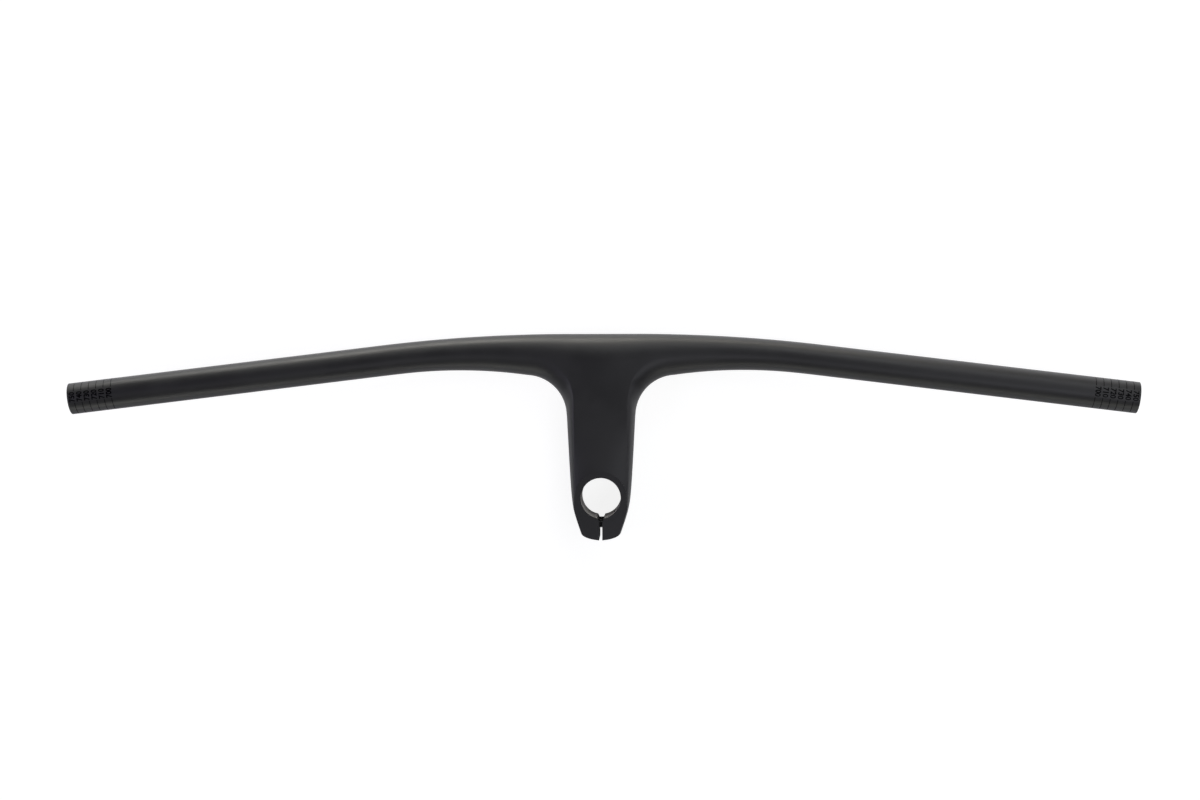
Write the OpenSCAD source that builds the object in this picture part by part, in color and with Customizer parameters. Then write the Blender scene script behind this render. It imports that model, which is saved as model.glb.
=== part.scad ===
// One-piece moulded handlebar and stem with a split steerer clamp.
// +Z runs up the steerer axis, +Y points forward to the bar, +X to one bar end.
// The origin is the middle of the steerer clamp, on its axis. Millimetres.

/* [Bar] */
// Overall width across the bar ends
bar_width = 760; // [700:5:800]
// Outside diameter of the grip tubes
grip_d = 22.2; // [21.6:0.1:22.6]
// Wall of the grip tubes
grip_wall = 2.2; // [1.8:0.1:2.6]
// Backsweep of each side, in degrees
backsweep = 7; // [4:0.5:9]
// Upsweep of each side, in degrees
upsweep = 5; // [1:0.5:7]
// Half of the straight front edge in the middle
front_flat = 25; // [15:1:35]
// Distance from the middle at which a side starts to run straight
bend_end = 157; // [145:1:170]
// Distance from the middle at which the swell of the bar begins
swell_start = 142; // [125:1:145]
// Growth of the bar's depth, front to back, carried to the middle
swell_depth = 18.2; // [14:0.2:22]
// Growth of the bar's half height, carried to the middle
swell_rise = 4.4; // [2:0.2:6]

/* [Stem] */
// Steerer axis to the front edge of the bar
front_reach = 117.8; // [105:0.2:130]
// Height of the bar's middle above the middle of the clamp
bar_lift = 2; // [0:0.5:6]
// Distance from the middle at which the inner blend leaves the bar
blend_start = 52; // [46:1:64]
// Half width of the stem's flanks, carried to the steerer axis
stem_half = 22; // [20.4:0.1:24]
// Growth of that half width for each millimetre forward
stem_flare = 0.05; // [0.02:0.005:0.08]
// Half width of the stem's flat top, out to its two creases
crease_half = 18.8; // [17:0.1:19.4]
// Sharpness of those creases in the inner blend, where 0 is smooth
crease_edge = 0.65; // [0:0.05:0.8]
// Wall of the hollow bar and stem
shell_wall = 2.6; // [2:0.1:3.2]

/* [Clamp] */
// Diameter of the steerer bore
steerer_d = 28.6; // [28.4:0.1:28.8]
// Height of the clamp between its faced ends
clamp_h = 40; // [36:1:46]
// Diameter of the faced ring round the bore
face_d = 37.4; // [35:0.2:39]
// Material left standing ahead of the faced ring
face_step = 0.4; // [0.2:0.1:0.8]
// Solid wall between the bore and the hollow stem
bore_wall = 5; // [4:0.5:7]
// How far the stem's shoulders fall beside the faced ring
shoulder_drop = 1.6; // [0.6:0.2:2.4]
// Half width of the clamp ears, carried to the steerer axis
ear_half = 24.3; // [23:0.1:24.8]
// Taper of that half width for each millimetre rearward
ear_taper = 0.37; // [0.3:0.01:0.42]
// Steerer axis to the rear end of the ears
rear_reach = 30.2; // [29:0.2:34]
// Depth of the rounded rear end
rear_round = 4.5; // [3.5:0.1:6]
// Rounding of the long edges of the ears
ear_edge = 1.2; // [0.8:0.1:2]
// Width of the slot between the ears
slot_w = 2.3; // [1.6:0.1:3]
// Width of the vee that opens the slot into the bore
vee_w = 5.6; // [4:0.2:7]

/* [Bolts] */
// Steerer axis to the bolt axes
bolt_back = 18.6; // [18.2:0.1:19]
// Distance between the two bolt axes, as a share of the clamp's height
bolt_spread = 0.55; // [0.5:0.01:0.6]
// Diameter of the bolt shanks
bolt_d = 6; // [5:0.5:6]
// Diameter of the bolt heads
head_d = 9.4; // [8.8:0.2:9.6]
// Height of the bolt heads
head_h = 5; // [4:0.5:5.5]
// Hexagon socket across flats
socket_af = 5; // [4:0.5:5]
// Depth of the hexagon socket
socket_depth = 2.6; // [2:0.2:3]
// Distance from the middle plane to the seat of the washer
seat_x = 7.5; // [7:0.5:8]
// Thickness of the washers
washer_t = 1; // [0.6:0.1:1.4]
// Diameter of the washers
washer_d = 10; // [9.6:0.2:10.4]
// Diameter of the barrel nuts
nut_d = 9.4; // [8.8:0.2:10]
// Length of the barrel nuts
nut_len = 7; // [5:0.5:7]
// Clearance round shanks, heads, washers and nuts
fit_gap = 0.3; // [0.2:0.05:0.4]

/* [Hidden] */
$fn = 72;
grip_r = grip_d / 2;
clamp_half = clamp_h / 2;
bolt_pitch = bolt_spread * clamp_h;
// Stations along the bar, round the blend, down the stem and round the rear end
bar_steps = 8;
blend_bar_steps = 8;
blend_stem_steps = 7;
stem_steps = 6;
clamp_steps = 10;
rear_steps = 5;
// Segments of one half section, from the top round to the bottom, and those on its flat
rear_segs = 20;
front_segs = 16;
flat_segs = 3;
// Overlap of the shell with the grip tube, and how far its last ring shrinks
tube_overlap = 6;
tube_sink = 0.4;
tube_lead = 0.5;

// Drop of a curve that bends evenly and then runs straight at a slope of one
function bend(x) =
  x <= front_flat ? 0
  : x < bend_end ? pow(x - front_flat, 2) / (2 * (bend_end - front_flat))
  : x - (front_flat + bend_end) / 2;
function bend_slope(x) =
  min(max((x - front_flat) / (bend_end - front_flat), 0), 1);
// Share of the swell that is present at a distance from the middle
function swell(x) = x >= swell_start ? 0 : pow(1 - x / swell_start, 2);
function bar_depth(x) = grip_d + swell_depth * swell(x);
function bar_half_height(x) = grip_r + swell_rise * swell(x);
function front_y(x) = front_reach - tan(backsweep) * bend(x);
// Point under the crest of the bar, and the direction of the bar there
function crest(x) =
  [x, front_y(x) - bar_depth(x) / 2, bar_lift + tan(upsweep) * bend(x)];
function unit(v) = v / norm(v);
function bar_dir(x) = unit(crest(x + 0.01) - crest(x - 0.01));
function rear_dir(d) = unit([d.y, -d.x, 0]);
// Smooth step from 0 at a to 1 at b
function ease(a, b, v) =
  let (t = min(max((v - a) / (b - a), 0), 1)) t * t * (3 - 2 * t);
function soft_min(a, b, k) = (a + b - sqrt((a - b) * (a - b) + k * k)) / 2;

// Straight grip tube: where it starts, its direction and its length
tube_x = bend_end + 8;
tube_dir = unit([1, -tan(backsweep), tan(upsweep)]);
tube_end_x = bar_width / 2 - grip_r * sqrt(1 - tube_dir.x * tube_dir.x);
tube_len = (tube_end_x - tube_x) / tube_dir.x;

// Inner blend: an arc tangent to the rear edge of the bar and to the flank
blend_from = crest(blend_start) + rear_dir(bar_dir(blend_start)) * bar_depth(blend_start) / 2;
blend_in = -bar_dir(blend_start);
blend_in_angle = atan2(blend_in.y, blend_in.x) + 360;
blend_out_angle = 270 - atan(stem_flare);
blend_turn = blend_out_angle - blend_in_angle % 360;
corner_run = (blend_from.x - stem_half - stem_flare * blend_from.y)
  / (cos(blend_in_angle + 180) - stem_flare * sin(blend_in_angle + 180));
blend_r = corner_run / tan(blend_turn / 2);
blend_centre = [
  blend_from.x + blend_r * cos(blend_in_angle + 90),
  blend_from.y + blend_r * sin(blend_in_angle + 90)
];
blend_end_y = blend_centre.y + blend_r * sin(blend_out_angle - 90);

// Half width of the stem and the clamp ears at a distance along the stem
function ear_width(y) =
  soft_min(stem_half + stem_flare * y, ear_half + ear_taper * y, 3);
rear_round_y = rear_round - rear_reach;
function half_width(y) =
  y > rear_round_y ? ear_width(y)
  : ear_width(y) * sqrt(max(1 - pow((rear_round_y - y) / rear_round, 2), 0.05));
function stem_half_height(y) =
  bar_half_height(0)
  + (clamp_half + face_step - bar_half_height(0)) * ease(crest(0).y, face_d / 2 + 4, y);
function stem_mid_z(y) = bar_lift * (1 - ease(crest(0).y, face_d / 2 + 4, y));

// A station is [foot of the crest, unit vector to the rear or flank edge, reach,
// half height, reach of the flat top, fall beyond it, where 2 is an ellipse,
// shoulder drop, up vector, unit vector to the front, front reach]
function bar_station(x, inset, sink = 0) =
  let (d = bar_dir(x), e = rear_dir(d))
  [crest(x), e, bar_depth(x) / 2 - inset - sink, bar_half_height(x) - inset - sink,
   0, 2, 0, cross(e, d), -e, bar_depth(x) / 2 - inset - sink];
// How far the crease has formed where the flat top has a reach of flat
function creased(flat) = ease(0, crease_half / 2, flat);
function blend_point(u, inset) =
  let (a = blend_in_angle - 90 + blend_turn * u)
  [blend_centre.x + (blend_r + inset) * cos(a), blend_centre.y + (blend_r + inset) * sin(a)];
function spoke_station(foot, u, half, inset) =
  let (p = blend_point(u, inset), v = [p.x - foot.x, p.y - foot.y, 0],
       flat = max(crease_half - foot.x, 0) / unit(v).x,
       sharp = creased(flat) * (1 - ease(0.7, 1, u)))
  [foot, unit(v), norm(v), half - inset, flat * norm(v) / (norm(v) + inset),
   2 - crease_edge * sharp, 0, [0, 0, 1],
   [0, 1, 0], bar_depth(foot.x) / 2 - inset];
function stem_station(y, inset) =
  let (wide = half_width(y), flat = min(crease_half, wide - ear_edge))
  [[0, y, stem_mid_z(y)], [1, 0, 0], wide - inset, stem_half_height(y) - inset,
   flat * (wide - inset) / wide, 2,
   shoulder_drop * ease(60, 22, y) * ease(-8, 6, y), [0, 0, 1],
   [0, 1, 0], 0];
blend_split = 0.55;
function shell_stations(inset, last_y) = concat(
  [bar_station(tube_x + tube_overlap, inset, tube_sink)],
  [for (i = [0:bar_steps])
    bar_station(tube_x - tube_lead + (blend_start - tube_x + tube_lead) * i / bar_steps, inset)],
  [for (i = [1:blend_bar_steps])
    let (x = blend_start * (1 - i / blend_bar_steps))
    spoke_station(crest(x), blend_split * i / blend_bar_steps, bar_half_height(x), inset)],
  [for (i = [1:blend_stem_steps])
    let (t = i / blend_stem_steps,
         y = crest(0).y + (blend_end_y - crest(0).y) * t)
    spoke_station([0, y, stem_mid_z(y)], blend_split + (1 - blend_split) * t,
                  stem_half_height(y), inset)],
  [for (y = stem_rows(last_y)) stem_station(y, inset)]
);
// Rows along the straight stem, through the clamp and round its rear end
clamp_top_y = face_d / 2 + 8;
function stem_rows(last_y) = [for (y = concat(
  [for (i = [1:stem_steps]) blend_end_y + (clamp_top_y - blend_end_y) * i / stem_steps],
  [for (i = [1:clamp_steps]) clamp_top_y + (rear_round_y - clamp_top_y) * i / clamp_steps],
  [for (i = [1:rear_steps]) rear_round_y - rear_round * sin(90 * i / rear_steps)]
)) if (y >= last_y) y];
middle_station = 1 + bar_steps + blend_bar_steps;

// Points of one half section, from the crest round the rear or flank to the underside
function rear_points(s, side) =
  let (quarter = rear_segs / 2, run = s[2] - s[4], fall = s[5],
       brink = s[4] + 0.25 * run * (1 - creased(s[4])),
       first = asin(pow((brink - s[4]) / run, fall / 2)))
  [for (j = [0:rear_segs])
    let (q = min(j, rear_segs - j),
         a = first + (90 - first) * max(q - flat_segs, 0) / (quarter - flat_segs),
         out = q < flat_segs ? brink * (1 - pow(1 - q / flat_segs, 2))
           : s[4] + run * pow(sin(a), 2 / fall),
         rise = q < flat_segs ? sqrt(1 - pow(max(out - s[4], 0) / run, fall)) : cos(a),
         up = (j > quarter ? -1 : 1) * rise * (s[3] - s[6] * pow(out / s[2], 3)),
         p = s[0] + s[1] * out + s[7] * up)
    [side * p.x, p.y, p.z]];
function front_points(s, side) = [for (j = [0:front_segs])
  let (a = 180 * j / front_segs,
       p = s[0] + s[8] * s[9] * sin(a) + s[7] * s[3] * cos(a))
  [side * p.x, p.y, p.z]];

// Closed skin of the bar and stem, moved inwards by inset, down the stem to last_y
module shell(inset, last_y) {
  stations = shell_stations(inset, last_y);
  last = len(stations) - 1;
  mid = middle_station;
  rear_row = rear_segs + 1;
  front_row = front_segs + 1;
  rear_total = (last + 1) * rear_row;
  side_total = rear_total + (mid + 1) * front_row;
  points = [for (side = [1, -1], part = [0, 1])
    each part == 0
      ? [for (s = stations) each rear_points(s, side)]
      : [for (i = [0:mid]) each front_points(stations[i], side)]];
  // Points on the middle plane are shared by both sides
  function rear_at(side, i, j) =
    (i >= mid && (j == 0 || j == rear_segs) ? 0 : side * side_total) + i * rear_row + j;
  function front_at(side, i, j) =
    j == 0 ? rear_at(side, i, 0)
    : j == front_segs ? rear_at(side, i, rear_segs)
    : (i == mid ? 0 : side * side_total) + rear_total + i * front_row + j;
  function facet(a, b, c, side) = side == 0 ? [a, b, c] : [a, c, b];
  rear_faces = [for (side = [0, 1], i = [0:last - 1], j = [0:rear_segs - 1])
    let (a = rear_at(side, i, j), b = rear_at(side, i + 1, j),
         c = rear_at(side, i + 1, j + 1), d = rear_at(side, i, j + 1))
    each [facet(a, d, c, side), facet(a, c, b, side)]];
  front_faces = [for (side = [0, 1], i = [0:mid - 1], j = [0:front_segs - 1])
    let (a = front_at(side, i, j), b = front_at(side, i + 1, j),
         c = front_at(side, i + 1, j + 1), d = front_at(side, i, j + 1))
    each [facet(a, b, c, side), facet(a, c, d, side)]];
  function bar_ring(side) = concat(
    [for (j = [0:rear_segs]) rear_at(side, 0, j)],
    [for (j = [front_segs - 1:-1:1]) front_at(side, 0, j)]);
  function turned(v) = [for (i = [len(v) - 1:-1:0]) v[i]];
  stem_end = concat(
    [for (j = [0:rear_segs]) rear_at(0, last, j)],
    [for (j = [rear_segs - 1:-1:1]) rear_at(1, last, j)]);
  polyhedron(points,
    concat(rear_faces, front_faces, [turned(bar_ring(0)), bar_ring(1), stem_end]), 10);
}

// Puts its children on the axis of a grip tube, with +Z running outwards
module on_grip(side) {
  mirror([side < 0 ? 1 : 0, 0, 0])
    translate(crest(tube_x))
      rotate([0, 90 - asin(tube_dir.z), -backsweep])
        children();
}

module both_grips() {
  for (side = [1, -1])
    on_grip(side)
      children();
}

// Material above and below the faced ring and the ears
module facing() {
  for (side = [1, -1])
    mirror([0, 0, side < 0 ? 1 : 0])
      translate([0, 0, clamp_half])
        linear_extrude(4) {
          circle(d = face_d);
          translate([-stem_half - 2, -rear_reach - 2])
            square([2 * stem_half + 4, rear_reach + 2]);
        }
}

module slot() {
  tall = clamp_h + 4;
  linear_extrude(tall, center = true) {
    translate([-slot_w / 2, -rear_reach - 2])
      square([slot_w, rear_reach + 2]);
    polygon([
      [-vee_w / 2, -steerer_d / 2 + 0.6],
      [vee_w / 2, -steerer_d / 2 + 0.6],
      [slot_w / 2 - 0.01, -steerer_d / 2 - vee_w / 2],
      [-slot_w / 2 + 0.01, -steerer_d / 2 - vee_w / 2]
    ]);
  }
}

// Puts its children on a bolt axis, with +Z running from the head to the tip
module on_bolt(z) {
  translate([0, -bolt_back, z])
    rotate([0, 90, 0])
      children();
}

module bolt_holes() {
  far = ear_half;
  for (z = [-bolt_pitch / 2, bolt_pitch / 2])
    on_bolt(z) {
      cylinder(d = bolt_d + 2 * fit_gap, h = 2 * far, center = true);
      translate([0, 0, -seat_x - far])
        cylinder(d = washer_d + 2 * fit_gap, h = far);
      translate([0, 0, seat_x])
        cylinder(d = nut_d, h = far);
    }
}

module bar_stem() {
  color([0.13, 0.13, 0.14])
    difference() {
      union() {
        shell(0, -rear_reach);
        both_grips()
          cylinder(r = grip_r, h = tube_len);
        cylinder(d = face_d, h = clamp_h, center = true);
      }
      difference() {
        shell(shell_wall, 8);
        cylinder(d = steerer_d + 2 * bore_wall, h = clamp_h + 8, center = true);
      }
      both_grips()
        translate([0, 0, -0.1])
          cylinder(r = grip_r - grip_wall, h = tube_len + 1);
      cylinder(d = steerer_d, h = clamp_h + 8, center = true);
      facing();
      slot();
      bolt_holes();
    }
}

module bolt(z) {
  color([0.06, 0.06, 0.07])
    on_bolt(z)
      difference() {
        union() {
          translate([0, 0, -seat_x - washer_t - head_h])
            cylinder(d = head_d, h = head_h);
          translate([0, 0, -seat_x - washer_t])
            cylinder(d = bolt_d, h = 2 * seat_x + washer_t + nut_len);
        }
        translate([0, 0, -seat_x - washer_t - head_h - 0.01])
          cylinder(d = socket_af / cos(30), h = socket_depth, $fn = 6);
      }
}

module washer(z) {
  color([0.5, 0.5, 0.52])
    on_bolt(z)
      translate([0, 0, -seat_x - washer_t])
        difference() {
          cylinder(d = washer_d, h = washer_t);
          translate([0, 0, -0.5])
            cylinder(d = bolt_d + fit_gap, h = washer_t + 1);
        }
}

module barrel_nut(z) {
  color([0.5, 0.5, 0.52])
    on_bolt(z)
      translate([0, 0, seat_x])
        difference() {
          cylinder(d = nut_d, h = nut_len);
          translate([0, 0, -0.5])
            cylinder(d = bolt_d, h = nut_len + 1);
        }
}

bar_stem();
bolt(bolt_pitch / 2);  // clamp_bolt_upper
bolt(-bolt_pitch / 2);  // clamp_bolt_lower
washer(bolt_pitch / 2);  // washer_upper
washer(-bolt_pitch / 2);  // washer_lower
barrel_nut(bolt_pitch / 2);  // barrel_nut_upper
barrel_nut(-bolt_pitch / 2);  // barrel_nut_lower
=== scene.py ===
"""Looks of a one-piece moulded handlebar and stem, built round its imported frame.

Lengths are metres. +Z runs up the steerer axis, +Y points forward to the bar, and the
origin is the middle of the steerer clamp.
"""

import logging
import math
from dataclasses import dataclass
from enum import Enum
from typing import Any, Callable, ClassVar, Iterator, Sequence, Union

import bmesh
import bpy
import numpy as np
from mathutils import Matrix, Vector

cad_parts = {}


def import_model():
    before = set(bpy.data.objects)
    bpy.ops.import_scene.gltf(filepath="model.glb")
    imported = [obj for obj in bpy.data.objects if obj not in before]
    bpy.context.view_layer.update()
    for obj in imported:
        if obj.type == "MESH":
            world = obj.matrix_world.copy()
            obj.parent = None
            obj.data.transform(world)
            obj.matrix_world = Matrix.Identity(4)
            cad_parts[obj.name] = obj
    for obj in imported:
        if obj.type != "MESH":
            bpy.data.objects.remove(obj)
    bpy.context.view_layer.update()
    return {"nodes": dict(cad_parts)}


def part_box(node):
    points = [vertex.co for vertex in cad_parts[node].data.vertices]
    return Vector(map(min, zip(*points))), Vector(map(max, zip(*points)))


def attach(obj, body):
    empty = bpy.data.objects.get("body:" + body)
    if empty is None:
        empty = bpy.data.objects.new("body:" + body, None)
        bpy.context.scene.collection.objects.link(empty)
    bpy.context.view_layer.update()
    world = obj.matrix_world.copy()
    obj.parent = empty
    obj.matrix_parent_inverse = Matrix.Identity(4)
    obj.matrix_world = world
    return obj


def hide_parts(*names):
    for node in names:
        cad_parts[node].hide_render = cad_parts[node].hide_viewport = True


LOG = logging.getLogger("stem_scene")
MM = 0.001
TINY = 1e-6
Colour = tuple[float, float, float]
Paint = tuple[float, float, float, float]
Operand = Union["Signal", float]
SocketInput = Union["Signal", float, Paint]


class Side(Enum):
    """The two sides of the bar, by the sign of their X."""

    RIGHT = 1
    LEFT = -1


class ClampEnd(Enum):
    """The two ends of the steerer clamp, by the sign of their Z."""

    TOP = 1
    BOTTOM = -1


class Join(Enum):
    """What a tool solid does to the piece that it meets."""

    ADD = "UNION"
    CUT = "DIFFERENCE"


class Signal:
    """A shader socket that takes part in Python arithmetic by adding Math nodes."""

    def __init__(self, graph: "ShaderGraph", socket: bpy.types.NodeSocket) -> None:
        """Wraps one output socket of a graph."""
        self.graph = graph
        self.socket = socket

    def _math(self, operation: str, *values: Operand) -> "Signal":
        """Adds one Math node and returns its result."""
        inputs = dict(enumerate(values))
        return self.graph.node("ShaderNodeMath", {"operation": operation}, inputs)

    def __add__(self, other: Operand) -> "Signal":
        """Sum of two values."""
        return self._math("ADD", self, other)

    __radd__ = __add__

    def __sub__(self, other: Operand) -> "Signal":
        """Difference of two values."""
        return self._math("SUBTRACT", self, other)

    def __rsub__(self, other: Operand) -> "Signal":
        """Difference of two values, with this one taken away."""
        return self._math("SUBTRACT", other, self)

    def __mul__(self, other: Operand) -> "Signal":
        """Product of two values."""
        return self._math("MULTIPLY", self, other)

    __rmul__ = __mul__

    def smooth_step(self, low: float, high: float) -> "Signal":
        """Eases from 0 at low to 1 at high.

        Args:
            low: The value that gives 0.
            high: The value that gives 1.

        Returns:
            The eased value.
        """
        return self.graph.node(
            "ShaderNodeMapRange",
            {"interpolation_type": "SMOOTHSTEP"},
            {"Value": self, "From Min": low, "From Max": high},
        )


class ShaderGraph:
    """A node tree that is filled by one method and finished with one surface.

    The Mix node's colour sockets share their names with its other ones, so they go by index.
    """

    MIX_FACTOR: ClassVar[int] = 0
    MIX_FIRST: ClassVar[int] = 6
    MIX_SECOND: ClassVar[int] = 7
    MIX_RESULT: ClassVar[int] = 2
    MARK_DETAIL: ClassVar[float] = 2.0

    def __init__(self, tree: bpy.types.NodeTree) -> None:
        """Clears the tree, so that it holds only what this graph adds."""
        self.tree = tree
        tree.nodes.clear()

    def node(
        self,
        kind: str,
        settings: dict[str, Any],
        inputs: dict[str | int, SocketInput],
        output: str | int = 0,
    ) -> Signal:
        """Adds a node.

        Args:
            kind: The node's type name.
            settings: Attributes that are set before the sockets.
            inputs: Values, colours or signals, by socket name or index.
            output: Name or index of the output to return.

        Returns:
            The chosen output, ready for arithmetic.
        """
        made = self.tree.nodes.new(kind)
        for name, value in settings.items():
            setattr(made, name, value)
        for key, value in inputs.items():
            socket = made.inputs[key]
            if isinstance(value, Signal):
                self.tree.links.new(value.socket, socket)
            else:
                socket.default_value = value
        return Signal(self, made.outputs[output])

    def mix_colour(self, factor: Signal, first: Paint, second: Paint) -> Signal:
        """Mixes two colours.

        Args:
            factor: Share of the second colour.
            first: Colour at 0.
            second: Colour at 1.

        Returns:
            The mixed colour.
        """
        inputs = {self.MIX_FACTOR: factor, self.MIX_FIRST: first, self.MIX_SECOND: second}
        return self.node("ShaderNodeMix", {"data_type": "RGBA"}, inputs, self.MIX_RESULT)

    def noise(self, place: Signal, scale: float, detail: float, roughness: float = 0.5) -> Signal:
        """Adds a cloudy noise.

        Args:
            place: Where on the object the noise is read.
            scale: Blotches a metre.
            detail: Layers of finer noise.
            roughness: Strength of each finer layer.

        Returns:
            The noise, from 0 to 1.
        """
        inputs = {"Vector": place, "Scale": scale, "Detail": detail, "Roughness": roughness}
        return self.node("ShaderNodeTexNoise", {}, inputs)

    def tool_marks(self, place: Signal, axis: str, scale: float, waver: float) -> Signal:
        """Adds the parallel marks that a turning or honing tool leaves.

        Args:
            place: Where on the object the marks are read.
            axis: Axis that the marks follow each other along.
            scale: Closeness of the marks.
            waver: How far they stray.

        Returns:
            The marks, from 0 to 1.
        """
        settings = {"wave_type": "BANDS", "bands_direction": axis}
        inputs = {"Vector": place, "Scale": scale, "Distortion": waver}
        inputs["Detail"] = self.MARK_DETAIL
        return self.node("ShaderNodeTexWave", settings, inputs, "Fac")

    def bump(self, height: Signal, strength: float, distance: float) -> Signal:
        """Turns a height into a normal.

        Args:
            height: The height, from 0 to 1.
            strength: Share of the bump that shows.
            distance: Depth of the bump in metres.

        Returns:
            The normal.
        """
        inputs = {"Strength": strength, "Distance": distance, "Height": height}
        return self.node("ShaderNodeBump", {}, inputs)

    def finish(self, surface: Signal, kind: str = "ShaderNodeOutputMaterial") -> None:
        """Links the finished surface to an output node."""
        out = self.tree.nodes.new(kind)
        self.tree.links.new(surface.socket, out.inputs["Surface"])


def opaque(colour: Colour) -> Paint:
    """Adds a full alpha to a colour."""
    return (*colour, 1.0)


def grey(level: float) -> Paint:
    """An opaque grey."""
    return (level, level, level, 1.0)


@dataclass(frozen=True)
class Finish:
    """A surface that is dressed by one Principled shader."""

    name: str

    def material(self) -> bpy.types.Material:
        """Builds the finish.

        Returns:
            A new material.
        """
        made = bpy.data.materials.new(self.name)
        made.use_nodes = True
        graph = ShaderGraph(made.node_tree)
        place = graph.node("ShaderNodeTexCoord", {}, {}, "Object")
        graph.finish(graph.node("ShaderNodeBsdfPrincipled", {}, self.sockets(graph, place)))
        return made

    def sockets(self, graph: ShaderGraph, place: Signal) -> dict[str | int, SocketInput]:
        """What goes into the shader's sockets, by name."""
        raise NotImplementedError


@dataclass(frozen=True)
class LacqueredCarbon(Finish):
    """Matt clear coat over moulded carbon, with a cloudy laminate and a fine satin grain."""

    name: str = "matt_black_carbon"
    dark: Colour = (0.0080, 0.0078, 0.0090)
    light: Colour = (0.0112, 0.0109, 0.0122)
    cloud_scale: float = 28.0
    cloud_detail: float = 4.0
    cloud_roughness: float = 0.6
    cloud_span: tuple[float, float] = (0.35, 0.65)
    grain_scale: float = 2600.0
    grain_detail: float = 2.0
    grain_strength: float = 0.05
    grain_depth: float = 0.02 * MM
    roughness: float = 0.46
    cloud_drift: float = 0.05
    grain_drift: float = 0.04
    sheen_weight: float = 0.04
    sheen_roughness: float = 0.6
    specular: float = 0.42

    def sockets(self, graph: ShaderGraph, place: Signal) -> dict[str | int, SocketInput]:
        """What goes into the shader's sockets.

        Args:
            graph: The material's nodes.
            place: Place on the object.

        Returns:
            Values and signals by socket name.
        """
        cloud = graph.noise(place, self.cloud_scale, self.cloud_detail, self.cloud_roughness)
        cloud = cloud.smooth_step(*self.cloud_span)
        grain = graph.noise(place, self.grain_scale, self.grain_detail)
        colour = graph.mix_colour(cloud, opaque(self.dark), opaque(self.light))
        drift = self.roughness + self.cloud_drift * (cloud - 0.5)
        return {
            "Base Color": colour,
            "Roughness": drift + self.grain_drift * (grain - 0.5),
            "Normal": graph.bump(grain, self.grain_strength, self.grain_depth),
            "Sheen Weight": self.sheen_weight,
            "Sheen Roughness": self.sheen_roughness,
            "Specular IOR Level": self.specular,
        }


@dataclass(frozen=True)
class SandedLaminateAndPaintedReflection(Finish):
    """Bare laminate of the steerer bore, honed to size, with faint rings from the tool. Its pale
    grey is partly painted reflection of the white floor, lighter than the laminate's own grey.
    """

    name: str = "honed_bore_laminate_and_painted_reflection"
    # Painted reflection: these pale greys stand partly for the white floor mirrored in the bore
    # wall, on top of the laminate's own grey.
    dark: Colour = (0.38, 0.36, 0.34)
    light: Colour = (0.52, 0.50, 0.47)
    cloth_scale: float = 260.0
    cloth_detail: float = 3.0
    cloth_span: tuple[float, float] = (0.35, 0.65)
    ring_scale: float = 900.0
    ring_waver: float = 1.2
    ring_strength: float = 0.2
    ring_depth: float = 0.01 * MM
    roughness: float = 0.5
    cloth_drift: float = 0.12
    ring_drift: float = 0.06

    def sockets(self, graph: ShaderGraph, place: Signal) -> dict[str | int, SocketInput]:
        """What goes into the shader's sockets.

        Args:
            graph: The material's nodes.
            place: Place on the object.

        Returns:
            Values and signals by socket name.
        """
        cloth = graph.noise(place, self.cloth_scale, self.cloth_detail)
        rings = graph.tool_marks(place, "Z", self.ring_scale, self.ring_waver)
        share = cloth.smooth_step(*self.cloth_span)
        drift = self.roughness + self.cloth_drift * (cloth - 0.5)
        return {
            "Base Color": graph.mix_colour(share, opaque(self.dark), opaque(self.light)),
            "Roughness": drift + self.ring_drift * (rings - 0.5),
            "Normal": graph.bump(rings, self.ring_strength, self.ring_depth),
        }


@dataclass(frozen=True)
class PrintedInk(Finish):
    """Black ink that stands a hair above the matt lacquer and hardly shines."""

    name: str = "gloss_black_ink"
    colour: Colour = (0.0008, 0.0008, 0.0012)
    film_scale: float = 900.0
    film_detail: float = 2.0
    roughness: float = 0.3
    film_drift: float = 0.08
    specular: float = 0.04

    def sockets(self, graph: ShaderGraph, place: Signal) -> dict[str | int, SocketInput]:
        """What goes into the shader's sockets.

        Args:
            graph: The material's nodes.
            place: Place on the object.

        Returns:
            Values and signals by socket name.
        """
        film = graph.noise(place, self.film_scale, self.film_detail)
        return {
            "Base Color": opaque(self.colour),
            "Roughness": self.roughness + self.film_drift * (film - 0.5),
            "Specular IOR Level": self.specular,
        }


@dataclass(frozen=True)
class TurnedSteel(Finish):
    """Machined steel with fine turning marks round the bolt axis."""

    colour: Colour
    metallic: float
    roughness: float
    mark_scale: float = 2200.0
    mark_waver: float = 1.5
    mark_strength: float = 0.3
    mark_depth: float = 0.01 * MM
    stain_scale: float = 700.0
    stain_detail: float = 3.0
    stain_drift: float = 0.1
    mark_drift: float = 0.05

    def sockets(self, graph: ShaderGraph, place: Signal) -> dict[str | int, SocketInput]:
        """What goes into the shader's sockets.

        Args:
            graph: The material's nodes.
            place: Place on the object.

        Returns:
            Values and signals by socket name.
        """
        marks = graph.tool_marks(place, "X", self.mark_scale, self.mark_waver)
        stain = graph.noise(place, self.stain_scale, self.stain_detail)
        drift = self.roughness + self.stain_drift * (stain - 0.5)
        return {
            "Base Color": opaque(self.colour),
            "Metallic": self.metallic,
            "Roughness": drift + self.mark_drift * (marks - 0.5),
            "Normal": graph.bump(marks, self.mark_strength, self.mark_depth),
        }


def ease(start: float, end: float, value: float) -> float:
    """Smooth step from 0 at start to 1 at end."""
    t = min(max((value - start) / (end - start), 0.0), 1.0)
    return t * t * (3.0 - 2.0 * t)


def scaled(count: int, fine: float) -> int:
    """A number of rows, scaled and at least three."""
    return max(int(count * fine), 3)


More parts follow.
